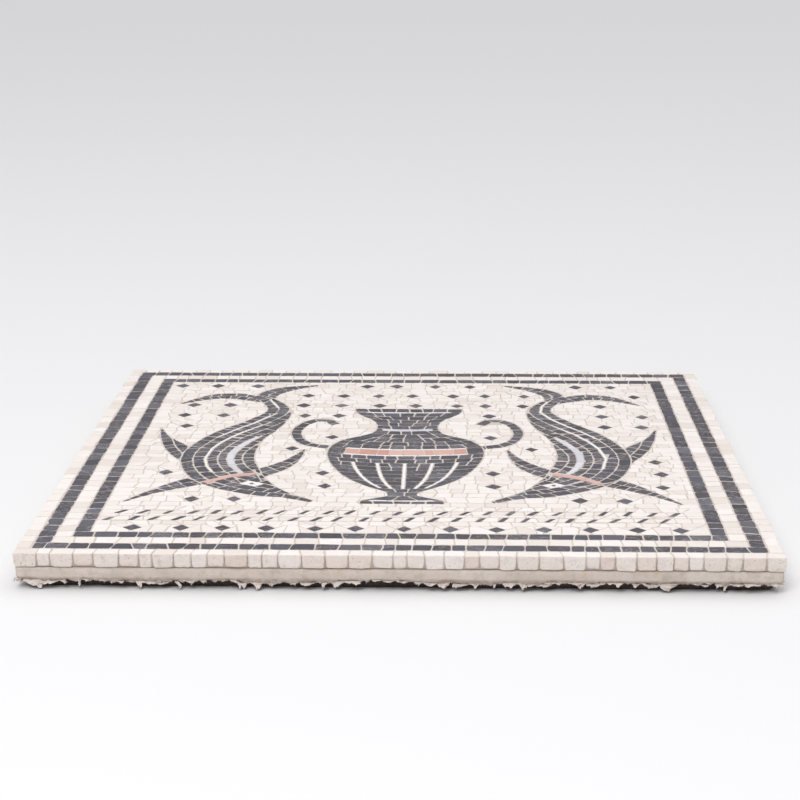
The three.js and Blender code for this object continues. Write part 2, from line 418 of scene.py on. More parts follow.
def outside_part(stones, outline):
    """The part of each stone outside an outline: cut along the line there, and again for a second side."""
    _, point, way = furthest_corner(stones, outline, 1)
    first = cut_by_line(stones, point, -way)
    _, point, way = distance_to(outline, centre_of(first))
    first = cut_by_line(stones, point, -way)
    rest = cut_by_line(stones, point, way)
    rest = pick(rest, rest[1] >= 3)
    parts = [first]
    if len(rest[1]):
        height, point, way = furthest_corner(rest, outline, 1)
        parts.append(pick(cut_by_line(rest, point, -way), height > SECOND_PART_REACH))
    return trimmed_outside(join_stones(*[pick(p, p[1] >= 3) for p in parts]), outline)


def cut_around(stones, outline):
    """Stones of a ground with a figure's outline taken out of them."""
    centre = centre_of(stones)
    reach = reach_of(stones, centre)
    distance = distance_to(outline, centre)[0]
    clear = distance > reach
    buried = (furthest_corner(stones, outline, 1)[0] < BURIED_UNDER) | (distance < -reach)
    touching = ~clear & ~buried
    if not touching.any():
        return pick(stones, clear)
    return join_stones(pick(stones, clear), worth_laying(outside_part(pick(stones, touching), outline)))


def cut_out_convex(stones, shape, least_area=3.0, least_width=0.5):
    """Stones with a small convex shape taken out exactly: one part for each side of the shape."""
    edge = np.roll(shape, -1, 0) - shape
    turn = np.sign((shape[:, 0] * edge[:, 1] - shape[:, 1] * edge[:, 0]).sum())
    outward = np.stack([edge[:, 1], -edge[:, 0]], 1) * turn
    outward = outward / np.linalg.norm(outward, axis=1)[:, None]
    centre, middle = centre_of(stones), shape.mean(0)
    shape_reach = np.linalg.norm(shape - middle, axis=1).max()
    near = np.linalg.norm(centre - middle, axis=1) < reach_of(stones, centre) + shape_reach
    parts = [pick(stones, ~near)]
    rest = pick(stones, near)
    for point, way in zip(shape, outward):
        if not len(rest[1]):
            break
        points, ways = (np.repeat(value[None], len(rest[1]), 0) for value in (point, way))
        outer = cut_by_line(rest, points, -ways)
        parts.append(worth_laying(pick(outer, outer[1] >= 3), least_area, least_width))
        rest = cut_by_line(rest, points, ways)
        rest = pick(rest, rest[1] >= 3)
    return join_stones(*parts)


def inlaid(stones, inlay, least_area=3.5, least_width=0.7):
    """Stones with every stone of a stripe taken out of them exactly."""
    for shape, number in zip(*inlay):
        stones = cut_out_convex(stones, shape[:number], least_area, least_width)
    return stones


# Laying stones

def joint_places(length, seed):
    """Where a border row's joints fall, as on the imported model: shares from 0 to 1."""
    count = max(2, round(length / BORDER_STONE))
    lengths = [1 + STONE_VARIATION * (2 * scatter(seed + i) - 1) for i in range(count)]
    places = np.concatenate([[0], np.cumsum(lengths)])
    return places / places[-1]


def border_row(length, width, seed, aslant):
    """A row of stones along X centred on the origin, each joint a little aslant and each edge a little off."""
    x = (joint_places(length, seed) - 0.5) * length
    count = len(x)
    slant = rng.normal(0, aslant, count)
    slant[[0, -1]] = 0
    near = rng.uniform(*BORDER_PLAY, count - 1)
    far = rng.uniform(*BORDER_PLAY, count - 1)
    quads = np.empty((count - 1, 4, 2))
    quads[:, 0] = np.stack([x[:-1] + slant[:-1], -width / 2 + near], 1)
    quads[:, 1] = np.stack([x[1:] + slant[1:], -width / 2 + near + rng.normal(0, 0.1, count - 1)], 1)
    quads[:, 2] = np.stack([x[1:] - slant[1:], width / 2 - far + rng.normal(0, 0.1, count - 1)], 1)
    quads[:, 3] = np.stack([x[:-1] - slant[:-1], width / 2 - far], 1)
    return quads


def turned(points, quarter):
    """Plane points turned anticlockwise by quarter turns."""
    c, s = [(1, 0), (0, 1), (-1, 0), (0, -1)][quarter]
    return points @ np.array([[c, s], [-s, c]])


def limb_stones(points, stone=FIGURE_STONE, course=FIGURE_COURSE, side=1):
    """
    Stones in courses along a limb, laid in from one side, the last course cut by the other side: joints at random
    lengths along the middle line, moved across it by the half width less whole courses.
    """
    line = spline(points, LAYING_STEPS)
    across = along_and_across(line[:, :2])[1] * side
    run = np.concatenate([[0], np.cumsum(np.linalg.norm(np.diff(line[:, :2], axis=0), axis=1))])
    end = run[-1]
    half = line[:, 2]
    courses = max(1, math.ceil(2 * half.max() / course - 0.2))
    quads = []
    for k in range(courses):
        lengths = stone * rng.uniform(*FIGURE_LENGTHS, int(end / stone * 1.6) + 3)
        at = np.cumsum(lengths) - lengths[0] * rng.uniform(0.2, 1.0)
        at = np.concatenate([[0], at[(at > 2) & (at < end - 2)], [end]])
        lean = rng.normal(0, 0.5, len(at))
        lean[[0, -1]] = 0
        ends = []
        for level, shift in ((k, lean), (k + 1, -lean)):
            place = np.clip(at + shift, 0, end)
            middle, way = (np.stack([np.interp(place, run, value[:, i]) for i in (0, 1)], 1)
                           for value in (line, across))
            width = np.interp(place, run, half)
            depth = width - level * course
            if courses == 1:
                depth = width if level == k else -width
            ends.append(middle + way * np.maximum(depth, -width)[:, None])
        outer, inner = ends
        quads.append(np.stack([outer[:-1], inner[:-1], inner[1:], outer[1:]], 1))
    return worth_laying(stones_from(np.concatenate(quads)))


def on_hoop(line, y, share):
    """
    Points of the vase at a height and at shares of its half width: a hoop seen from above, that sags forward by
    one less the share squared, and less near the foot and the mouth.
    """
    half = np.interp(y, line[:, 1], line[:, 2])
    ends = max(0.0, min(1.0, (y - line[0, 1]) / HOOP_FADE, (line[-1, 1] - y) / HOOP_FADE))
    return np.stack([share * half, y - HOOP_SAG * half * ends * (1 - share**2)], 1)


def vase_rows(low):
    """Bottom, top and stone of each of the vase's rows: the dark ones in courses, the others one row each."""
    rows = []
    for high, tint in VASE_STRETCHES:
        count = max(1, round((high - low) / FIGURE_COURSE)) if tint == "slate" else 1
        levels = np.linspace(low, high, count + 1)
        rows += [(a, b, tint) for a, b in zip(levels[:-1], levels[1:])]
        low = high
    return rows


def row_spans(bottom, top, tint, width):
    """What a row of the vase is of from its left side to its right: shares from -1 to 1 and a stone."""
    if tint != "slate":
        return [(-1, -BAND_REACH, "slate"), (-BAND_REACH, BAND_REACH, tint), (BAND_REACH, 1, "slate")]
    if bottom < FLUTE_LOW or top > FLUTE_HIGH:
        return [(-1, 1, "slate")]
    half = FLUTE_HALF / width
    spans = []
    left = -1
    for flute in FLUTES:
        spans += [(left, flute - half, "slate"), (flute - half, flute + half, "white")]
        left = flute + half
    return spans + [(left, 1, "slate")]


def vase_stones():
    """The vase's stones by what they are of, in rows between its hoops."""
    line = spline(VASE_PROFILE, LAYING_STEPS)
    laid = {"slate": [], "white": [], "lilac": [], "red": []}
    for bottom, top, row_tint in vase_rows(line[0, 1]):
        width = np.interp((bottom + top) / 2, line[:, 1], line[:, 2])
        for left, right, tint in row_spans(bottom, top, row_tint, width):
            count = max(1, round((right - left) * width / FIGURE_STONE))
            share = np.linspace(left, right, count + 1)
            share[1:-1] += rng.uniform(-0.24, 0.24, count - 1) * (right - left) / count
            lean = np.zeros(count + 1)
            lean[1:-1] = rng.normal(0, 0.45, count - 1) / width
            lower, upper = on_hoop(line, bottom, share + lean), on_hoop(line, top, share - lean)
            laid[tint].append(np.stack([lower[:-1], lower[1:], upper[1:], upper[:-1]], 1))
    return {tint: worth_laying(stones_from(np.concatenate(quads)), 3.0, 0.4) for tint, quads in laid.items()}


def ground_courses():
    """Heights of the joints between the ground's courses, from the front of the field to its back."""
    levels = [FIRST_DIAMOND + DIAMOND_COURSE / 2]
    while levels[-1] < FIELD_HIGH[1] - FIELD_LOW[1]:
        levels.append(levels[-1] + (DIAMOND_COURSE if len(levels) % 3 == 0 else PLAIN_COURSE))
    levels = FIELD_LOW[1] + np.array(levels)
    levels = levels[levels < FIELD_HIGH[1] - 0.45 * PLAIN_COURSE]
    return np.concatenate([[FIELD_LOW[1]], levels, [FIELD_HIGH[1]]])


def diamond_places():
    """Middles of the diamonds: a square lattice set by eye, with the last row half a step along."""
    centres = []
    for row in range(DIAMOND_ROWS):
        y = FIELD_LOW[1] + FIRST_DIAMOND + row * DIAMOND_PITCH
        start = FIELD_LOW[0] - 3 + (DIAMOND_PITCH / 2 if row == DIAMOND_ROWS - 1 else 0)
        x = np.arange(start, FIELD_HIGH[0] - 5, DIAMOND_PITCH)
        x = x + rng.normal(0, DIAMOND_STRAY, len(x))
        x = x[(x > FIELD_LOW[0] + DIAMOND_MARGIN) & (x < FIELD_HIGH[0] - DIAMOND_MARGIN)]
        centres.append(np.stack([x, y + rng.normal(0, 0.2, len(x))], 1))
    return np.concatenate(centres)


def diamonds_at(centres):
    """Small squares stood on a corner, each a little different."""
    ways = np.array([(-1, 0), (0, -1), (1, 0), (0, 1)], float)
    size = np.array([DIAMOND_HALF_WIDTH, DIAMOND_HALF_DEPTH])
    scale = rng.uniform(0.86, 1.08, (len(centres), 4, 1))
    skew = rng.normal(0, 0.3, (len(centres), 4, 2)) * (1.0, 0.4)
    return centres[:, None] + ways * size * scale + skew


def ground_stones(lattice):
    """
    Bricks in level courses, with slanting joints that no course repeats from the one before. A joint that comes
    near a diamond goes to its middle, and the joints between courses sway with noise.
    """
    levels = ground_courses()

    def joint_line(x, y, row):
        sway = 0.0 if row in (0, len(levels) - 1) else JOINT_SWAY
        return y + sway * lattice_noise(x, np.full(len(x), 7.0 * row), 8.5, 5)

    quads = []
    for row, (bottom, top) in enumerate(zip(levels[:-1], levels[1:])):
        fixed = lattice[(lattice[:, 1] > bottom) & (lattice[:, 1] < top), 0]
        x = [FIELD_LOW[0]]
        while x[-1] < FIELD_HIGH[0] - 4:
            step = x[-1] + GROUND_STONE * rng.uniform(*GROUND_LENGTHS)
            close = fixed[(fixed > x[-1] + 3) & (fixed < step + 4.5)]
            x.append(close[0] if len(close) else step)
        x[-1] = FIELD_HIGH[0]
        x = np.array(x)
        slant = rng.normal(0, 0.8, len(x))
        slant[[0, -1]] = 0
        wobble = rng.normal(0, 0.12, (len(x) - 1, 4))
        low_x, high_x = x + slant, x - slant
        low_y, high_y = joint_line(low_x, bottom, row), joint_line(high_x, top, row + 1)
        low, high = np.stack([low_x, low_y], 1), np.stack([high_x, high_y], 1)
        quad = np.stack([low[:-1], low[1:], high[1:], high[:-1]], 1)
        quad[..., 1] += wobble
        quads.append(quad)
    return stones_from(np.concatenate(quads))


def stroke_quads():
    """Two rows of short dark strokes that all lean one way and stay apart, so that they spell nothing."""
    quads = []
    for low, first in STROKE_ROWS:
        x = np.arange(FIELD_LOW[0] + first, FIELD_HIGH[0] - 9.0, STROKE_PITCH)
        x = x + rng.uniform(-1.6, 1.6, len(x))
        tall = rng.uniform(*STROKE_TALL, len(x))
        lean = rng.uniform(*STROKE_LEAN, len(x))
        y = FIELD_LOW[1] + low + rng.uniform(-0.6, 0.6, len(x))
        half = rng.uniform(*STROKE_HALF, len(x))
        corners = [(x - lean - half, y), (x - lean + half, y), (x + half, y + tall), (x - half, y + tall)]
        quads.append(np.stack([np.stack(corner, 1) for corner in corners], 1))
    return np.concatenate(quads)


# Faces and points of meshes

def ring_walls(levels, one, other):
    """Quads between stacked rings: two neighbouring points of a ring, then the same two a ring further."""
    size = len(one)
    return np.concatenate([
        np.stack([k * size + one, k * size + other, (k + 1) * size + other, (k + 1) * size + one], 1)
        for k in range(levels - 1)])


def fan(one, other, hub):
    """Triangles from pairs of neighbouring points to one more point."""
    return np.stack([one, other, np.full(len(one), hub)], 1)


def grid_faces(grid):
    """Quads between neighbouring points of a grid of indices."""
    return np.stack([grid[:-1, :-1], grid[:-1, 1:], grid[1:, 1:], grid[1:, :-1]], -1).reshape(-1, 4)


def grid_rim(grid):
    """The indices round a grid, in order."""
    return np.concatenate([grid[0, :-1], grid[:-1, -1], grid[-1, :0:-1], grid[:0:-1, 0]])


def level_grid(half, columns, rows, indexing="xy"):
    """The X and Y of a grid's points over a rectangle, from its half sides."""
    x, y = np.linspace(-half[0], half[0], columns), np.linspace(-half[1], half[1], rows)
    return np.meshgrid(x, y, indexing=indexing)


def for_each(faces, number, points):
    """One piece's faces again for a number of like pieces with so many points each."""
    return (faces[None] + (np.arange(number) * points)[:, None, None]).reshape(-1, faces.shape[1])


def with_height(places, height):
    """Plane places and their heights as points."""
    return np.concatenate([places, np.broadcast_to(height, len(places))[:, None]], 1)


# Stone meshes

def inset(corners, distance):
    """Convex corner loops moved in by a distance on every side."""
    edge = np.roll(corners, -1, 1) - corners
    edge = edge / np.maximum(np.linalg.norm(edge, axis=-1), 1e-9)[..., None]
    inward = np.stack([-edge[..., 1], edge[..., 0]], -1)
    before = np.roll(inward, 1, 1)
    together = 1 + (inward * before).sum(-1)
    return corners + (inward + before) * (distance / np.maximum(together, 0.3))[..., None]


def worn_loop(corners, ragged, corner=CORNER):
    """Each loop with its corners nipped off and the middle of each edge moved a little, as a hammer leaves it."""
    following = np.roll(corners, -1, 1)
    edge = following - corners
    length = np.linalg.norm(edge, axis=-1)[..., None]
    nip = np.minimum(corner * rng.uniform(0.5, 1.8, length.shape), 0.22 * length)
    ahead = edge / np.maximum(length, 1e-9)
    outward = np.stack([ahead[..., 1], -ahead[..., 0]], -1)
    middle_share = rng.uniform(0.35, 0.65, length.shape)
    bulge = rng.normal(0, ragged, length.shape) * np.minimum(1, length / 8)
    start = corners + ahead * nip
    middle = corners + edge * middle_share + outward * bulge
    end = following - ahead * nip
    return np.stack([start, middle, end], 2).reshape(len(corners), -1, 2)


def shrunk(loop, distance):
    """Loops drawn in towards their middles by about a distance."""
    middle = loop.mean(1, keepdims=True)
    arm = np.linalg.norm(loop - middle, axis=-1).mean(1)[:, None, None]
    return middle + (loop - middle) * np.maximum(0.5, 1 - distance / np.maximum(arm, 0.5))


def stone_group(corners, joint, ragged, root, profile, corner):
    """
    Vertices, faces and marks of stones with one count of corners: loops stacked from root to crown, each drawn in
    by the profile and leaning with the stone's face.
    """
    number = len(corners)
    loop = worn_loop(inset(corners, joint / 2), ragged, corner)
    size = loop.shape[1]
    tone = rng.uniform(0, 1, (number, 3))
    top = STONE_TOP - rng.uniform(0.0, FACE_DROP, number)
    tilt = rng.normal(0, FACE_TILT, (number, 2))
    middle = loop.mean(1)
    waste = rng.uniform(0.5, 1.6, (number, 1, 1))
    rings = []
    for drop, draw, _ in profile:
        ring = shrunk(loop, draw * waste) if draw else loop
        lean = ((ring - middle[:, None]) * tilt[:, None]).sum(-1)
        z = np.minimum(top[:, None] + lean, STONE_TOP) - drop
        if drop >= root:
            z = np.full_like(z, STONE_TOP - drop)
        rings.append(np.concatenate([ring, z[..., None]], -1))
    crown, base = with_height(middle, top)[:, None], with_height(middle, STONE_TOP - root)[:, None]
    points = np.concatenate(rings + [crown, base], 1)
    each = points.shape[1]
    i = np.arange(size)
    j = (i + 1) % size
    last = (len(profile) - 1) * size
    caps = np.concatenate([fan(last + i, last + j, each - 2), fan(j, i, each - 1)])
    quads, tris = for_each(ring_walls(len(profile), i, j), number, each), for_each(caps, number, each)
    polish = np.append(np.repeat([mark for _, _, mark in profile], size), [1.0, 0.0])
    attribute = np.concatenate([np.repeat(tone[:, None], each, 1), np.tile(polish[:, None], (number, 1, 1))], -1)
    return points.reshape(-1, 3), quads, tris, attribute.reshape(-1, 4)


# A stone from its root up: how far below its face each loop lies, how far it is drawn in, and its share of polish
SET_STONE = ((STONE_ROOT, 0, 0.0), (0.42, 0, 0.0), (0.14, 0.1, 0.6), (0.05, ARRIS, 1.0))


def build_mesh(name, points, quads, tris, attribute=None, smooth=False):
    """A mesh object from whole arrays, with each point's marks kept as a colour attribute."""
    mesh = bpy.data.meshes.new(name)
    mesh.vertices.add(len(points))
    mesh.vertices.foreach_set("co", (np.asarray(points) * MM).astype(np.float32).ravel())
    loops = np.concatenate([np.asarray(quads, int).ravel(), np.asarray(tris, int).ravel()])
    mesh.loops.add(len(loops))
    mesh.loops.foreach_set("vertex_index", loops.astype(np.int32))
    starts = np.concatenate([np.arange(len(quads)) * 4, len(quads) * 4 + np.arange(len(tris)) * 3])
    mesh.polygons.add(len(starts))
    mesh.polygons.foreach_set("loop_start", starts.astype(np.int32))
    mesh.update(calc_edges=True)
    mesh.validate()
    mesh.polygons.foreach_set("use_smooth", np.full(len(mesh.polygons), smooth))
    if attribute is not None:
        marks = mesh.attributes.new("stone", "FLOAT_COLOR", "POINT")
        marks.data.foreach_set("color", attribute.astype(np.float32).ravel())
    piece = bpy.data.objects.new(name, mesh)
    bpy.context.scene.collection.objects.link(piece)
    return piece


def stone_piece(name, stones, setting, root=STONE_ROOT, profile=SET_STONE, corner=CORNER):
    """One piece of many stones, built in groups that share a count of corners."""
    corners, count = stones
    parts = []
    total = 0
    for number in np.unique(count):
        group = corners[count == number][:, :number]
        points, quads, tris, marks = stone_group(group, *SETTING[setting], root, profile, corner)
        parts.append((points, quads + total, tris + total, marks))
        total += len(points)
    points, quads, tris, marks = (np.concatenate(column) for column in zip(*parts))
    return build_mesh(name, points, quads, tris, marks)


# Noise worked out as arrays

def lattice_noise(x, y, scale, seed, wrap=None):
    """
    Smooth noise from -1 to 1: random values on a square lattice, blended by a smooth step between them. It repeats
    along X after a length given as wrap.
    """
    u, v = x / scale, y / scale
    i, j = np.floor(u).astype(int), np.floor(v).astype(int)
    fu, fv = u - i, v - j
    fu, fv = fu * fu * (3 - 2 * fu), fv * fv * (3 - 2 * fv)
    size = len(NOISE_TABLE)

    def value(a, b):
        if wrap:
            a = a % max(1, round(wrap / scale))
        return NOISE_TABLE[(a * 73 + seed * 131) % size, (b * 57 + seed * 17) % size]

    low = value(i, j) * (1 - fu) + value(i + 1, j) * fu
    high = value(i, j + 1) * (1 - fu) + value(i + 1, j + 1) * fu
    return low * (1 - fv) + high * fv


def waves(x, y, layers, wrap=None):
    """Noise in layers, summed."""
    return sum(height * lattice_noise(x, y, size, seed, wrap) for height, size, seed in layers)


# The stones that show their sides

# An edge stone's loops, as above, for a stone of this height
EDGE_HEIGHT = 9.0
EDGE_PROFILE = (
    (EDGE_HEIGHT, 1.2, 0.0), (8.3, 0.55, 0.0), (7.0, 0.2, 0.0), (5.2, 0.05, 0.0), (3.4, 0.0, 0.0), (1.6, 0, 0.0),
    (0.6, 0.0, 0.1), (0.2, 0.1, 0.55), (0.05, ARRIS, 1.0),
)


def edge_stone_piece(name, stones):
    """
    The outer course: stones at full height. Noise moves their walls, more so low down. Each is hewn back at its
    outer side by the square of its first random value and a lean from its second, and cut short by its third.
    """
    height = STONE_TOP - STONE_FLOOR
    profile = tuple((drop * height / EDGE_HEIGHT, draw, mark) for drop, draw, mark in EDGE_PROFILE)
    piece = stone_piece(name, stones, "edge", height, profile)
    mesh = piece.data
    points = np.empty(len(mesh.vertices) * 3, np.float32)
    mesh.vertices.foreach_get("co", points)
    marks = np.empty(len(mesh.vertices) * 4, np.float32)
    mesh.attributes["stone"].data.foreach_get("color", marks)
    own = marks.reshape(-1, 4).astype(float)
    p = points.reshape(-1, 3).astype(float) / MM
    depth = STONE_TOP - p[:, 2]
    below = np.clip((depth - 0.4) / 2, 0, 1)
    low = np.clip((depth - 5.5) / 3.5, 0, 1)
    shift = np.stack([lattice_noise(p[:, 0] + 3 * k, p[:, 1] + p[:, 2] * 1.7, 2.6, 3 + k) for k in (0, 1)], 1)
    p[:, :2] += shift * (0.2 * below + 0.3 * low)[:, None]
    outer = np.clip((np.abs(p[:, :2]) - PANEL_HIGH + 5) / 5, 0, 1)
    hewn = (0.1 + 0.9 * own[:, 0] ** 2) + (own[:, 1] - 0.5) * 0.08 * depth
    p[:, :2] -= np.sign(p[:, :2]) * outer * np.maximum(hewn, 0)[:, None]
    p[:, 2] += low * (1.15 * own[:, 2] ** 2 + 0.35 * lattice_noise(p[:, 0], p[:, 1], 3.3, 9))
    p[:, :2] = np.clip(p[:, :2], -PANEL_HIGH, PANEL_HIGH)
    p[:, 2] = np.maximum(p[:, 2], STONE_FLOOR)
    mesh.vertices.foreach_set("co", (p * MM).astype(np.float32).ravel())
    mesh.update()
    return piece


# Mortar

def grout_piece():
    """
    The mortar between the stones: a shallow slab, whose face is a grid just under the stones' that wavers with
    noise and falls away at its edge.
    """
    half = (np.array([PANEL_WIDTH, PANEL_DEPTH]) - 2 * GROUT_MARGIN) / 2
    columns, rows = (int(2 * side / GROUT_STEP) + 1 for side in half)
    x, y = level_grid(half, columns, rows)
    z = STONE_TOP - GROUT_DROP + waves(x, y, GROUT_WAVES)
    edge = np.minimum(half[0] - np.abs(x), half[1] - np.abs(y))
    z = z - 0.5 * np.clip(1 - edge / 2.0, 0, 1)
    top = np.stack([x, y, z], -1).reshape(-1, 3)
    grid = np.arange(rows * columns).reshape(rows, columns)
    rim = grid_rim(grid)
    foot = len(top) + np.arange(len(rim))
    next_foot = np.roll(foot, -1)
    walls = np.stack([rim, foot, next_foot, np.roll(rim, -1)], 1)
    points = np.concatenate([top, with_height(top[rim, :2], STONE_FLOOR + GROUT_FLOOR),
                             [[0, 0, STONE_FLOOR + GROUT_FLOOR]]])
    return build_mesh("joint_mortar", points, np.concatenate([grid_faces(grid), walls]),
                      fan(next_foot, foot, len(points) - 1), smooth=True)


def round_the_slab(inward, count):
    """
    Points along a rounded rectangle that stands in from the panel's edge, with the ways out there, their places
    along it and its length: four straight sides, each with a quarter circle after it.
    """
    half = PANEL_HIGH - inward
    lengths = np.tile(2 * (half - SLAB_CORNER), 2)
    corner = SLAB_CORNER * math.pi / 2
    total = lengths.sum() + 4 * corner
    at = np.linspace(0, total, count, endpoint=False)
    points = np.zeros((count, 2))
    ways = np.zeros((count, 2))
    start = 0.0
    ahead = np.array([(1, 0), (0, 1), (-1, 0), (0, -1)], float)
    out = np.array([(0, -1), (1, 0), (0, 1), (-1, 0)], float)
    first = np.array([(-1, -1), (1, -1), (1, 1), (-1, 1)]) * (half - SLAB_CORNER)
    for side in range(4):
        on = (at >= start) & (at < start + lengths[side])
        points[on] = first[side] + out[side] * SLAB_CORNER + ahead[side] * (at[on] - start)[:, None]
        ways[on] = out[side]
        start += lengths[side]
        on = (at >= start) & (at < start + corner + 1e-9)
        angle = (at[on] - start)[:, None] / SLAB_CORNER
        ways[on] = out[side] * np.cos(angle) + ahead[side] * np.sin(angle)
        points[on] = first[(side + 1) % 4] + ways[on] * SLAB_CORNER
        start += corner
    return points, ways, at, total


def lip_bottom(at, total, edge=ROUGH_HEIGHT):
    """Height of the torn lip's lower edge along the slab: slow waves with sharp teeth taken out of them."""
    zero = np.zeros(len(at))
    teeth = np.abs(lattice_noise(at, zero, 3.7, 36, total)) + 0.5 * np.abs(lattice_noise(at, zero, 1.5, 38, total))
    bottom = LIP_MIDDLE + waves(at, zero, LIP_SWELLS, total)
    return np.clip(bottom - 1.6 * teeth, LIP_LOWEST, edge - 0.25)


def mortar_slab():
    """
    The slab, as rings round it: each is the rounded rectangle moved out and up or down by noise. A trowelled side
    wavers, a torn lip hangs below it, and a recess behind that meets the floor and closes under the slab. The lip's
    lower edge and the recess are painted dark brown as shade.
    """
    top = SLAB_TOP
    outline, way, at, total = round_the_slab(BED_SETBACK, SLAB_POINTS)
    zero = np.zeros(SLAB_POINTS)
    rings = [with_height(outline * (1 - 14 / PANEL_HIGH), top - SLAB_SINK)]
    lip = waves(at, zero, LIP_WAVES, total)
    for z in np.linspace(top, ROUGH_HEIGHT, SIDE_ROWS):
        level = np.full(SLAB_POINTS, z)
        share = (top - z) / (top - ROUGH_HEIGHT)
        streak = 0.22 * lattice_noise(at, level * 9, 24, 31, total)
        streak = streak + 0.12 * lattice_noise(at, level, 3.1, 32, total)
        out = streak - 0.45 - 0.9 * max(0.0, 1 - (top - z) / 0.8) + 0.25 * math.sin(3.0 * share)
        height = level + share**2 * lip + 0.12 * lattice_noise(at, level, 5, 34, total) * (z < top - 0.1)
        rings.append(with_height(outline + way * out[:, None], height))
    edge = rings[-1][:, 2]
    bottom = lip_bottom(at, total, edge)
    lumps = 1.3 * lattice_noise(at, zero + 1, 13, 41, total) + lattice_noise(at, zero + 2, 5, 42, total)
    for share in np.linspace(0, 1, LIP_ROWS + 1)[1:]:
        crumb = waves(at, zero + 7.0 * share, LIP_CRUMBS, total)
        out = -0.5 - 1.5 * share + (0.6 * lumps + crumb) * share**0.6
        height = edge + (bottom - edge) * share
        rings.append(with_height(outline + way * np.minimum(out, -0.1)[:, None], height))
    # The lip's lower edge is marked for some painted shade, and every ring behind it for full painted shade
    marks = [0.0] * (len(rings) - 1) + [0.6]
    half = PANEL_HIGH - BED_SETBACK
    for draw, rise in RECESS_RINGS:
        inward = (draw + 0.6 * (lumps + 0.6 * lattice_noise(at, zero + draw, 2.2, 46, total)))[:, None]
        height = rise * (bottom * 0.5 + 2.2) * (1 + 0.2 * lattice_noise(at, zero + draw, 4, 45, total))
        rings.append(with_height(np.clip(outline, inward - half, half - inward), height))
    for inward, height in UNDER_RINGS:
        rings.append(with_height(np.clip(outline, inward - half, half - inward), height))
    marks += [1.0] * (len(rings) - len(marks))
    points = np.concatenate(rings + [[[0, 0, top - SLAB_SINK]], [[0, 0, UNDER_RINGS[-1][1]]]])
    # Each point's share of painted shade: the crown clear, the underside's middle dark
    dark = np.append(np.repeat(marks, SLAB_POINTS), [0.0, 1.0])
    i = np.arange(SLAB_POINTS)
    j = (i + 1) % SLAB_POINTS
    crown = len(rings) * SLAB_POINTS
    last = crown - SLAB_POINTS
    tris = np.concatenate([fan(i, j, crown), fan(last + j, last + i, crown + 1)])
    return build_mesh("mortar_slab", points, ring_walls(len(rings), j, i), tris,
                      np.repeat(dark[:, None], 4, 1), smooth=True)


def mortar_underside():
    """
    The cast underside: a plate of the slab's mortar, a grid hollowed by noise between the lumps it rests on, and
    dark brown towards its rim: a little dirt all over, and painted shade with dirt near the rim.
    """
    half = PANEL_HIGH - BED_SETBACK - 11.0
    columns, rows = 120, 114
    x, y = level_grid(half, columns, rows, "ij")
    z = np.clip(0.35 + waves(x, y, UNDERSIDE_WAVES), 0.0, UNDERSIDE_LID - 0.8)
    x = x + 1.2 * lattice_noise(x, y, 6, 64)
    y = y + 1.2 * lattice_noise(x, y, 6, 65)
    points = np.stack([x, y, z], -1).reshape(-1, 3)
    inside = (half - np.abs(points[:, :2])).min(1)
    # A little dirt all over, and painted shade with dirt that grows towards the rim under the slab's edge
    dirt_and_shade = 0.36 + 0.42 * np.exp(-np.maximum(inside, 0) / 14) * (1 + 0.5 * lattice_noise(*points.T[:2], 15, 66))
    grid = np.arange(len(points)).reshape(columns, rows)
    rim = grid_rim(grid.T)
    lid = len(points) + np.arange(len(rim))
    next_lid = np.roll(lid, -1)
    sides = np.stack([rim, np.roll(rim, -1), next_lid, lid], 1)
    points = np.concatenate([points, with_height(points[rim, :2], UNDERSIDE_LID), [[0, 0, UNDERSIDE_LID]]])
    # The plate's sides carry painted shade with dirt
    dirt_and_shade = np.append(dirt_and_shade, np.full(len(points) - len(dirt_and_shade), 0.8))
    return build_mesh("mortar_underside", points, np.concatenate([grid_faces(grid), sides]),
                      fan(lid, next_lid, len(points) - 1), np.repeat(dirt_and_shade[:, None], 4, 1), smooth=True)


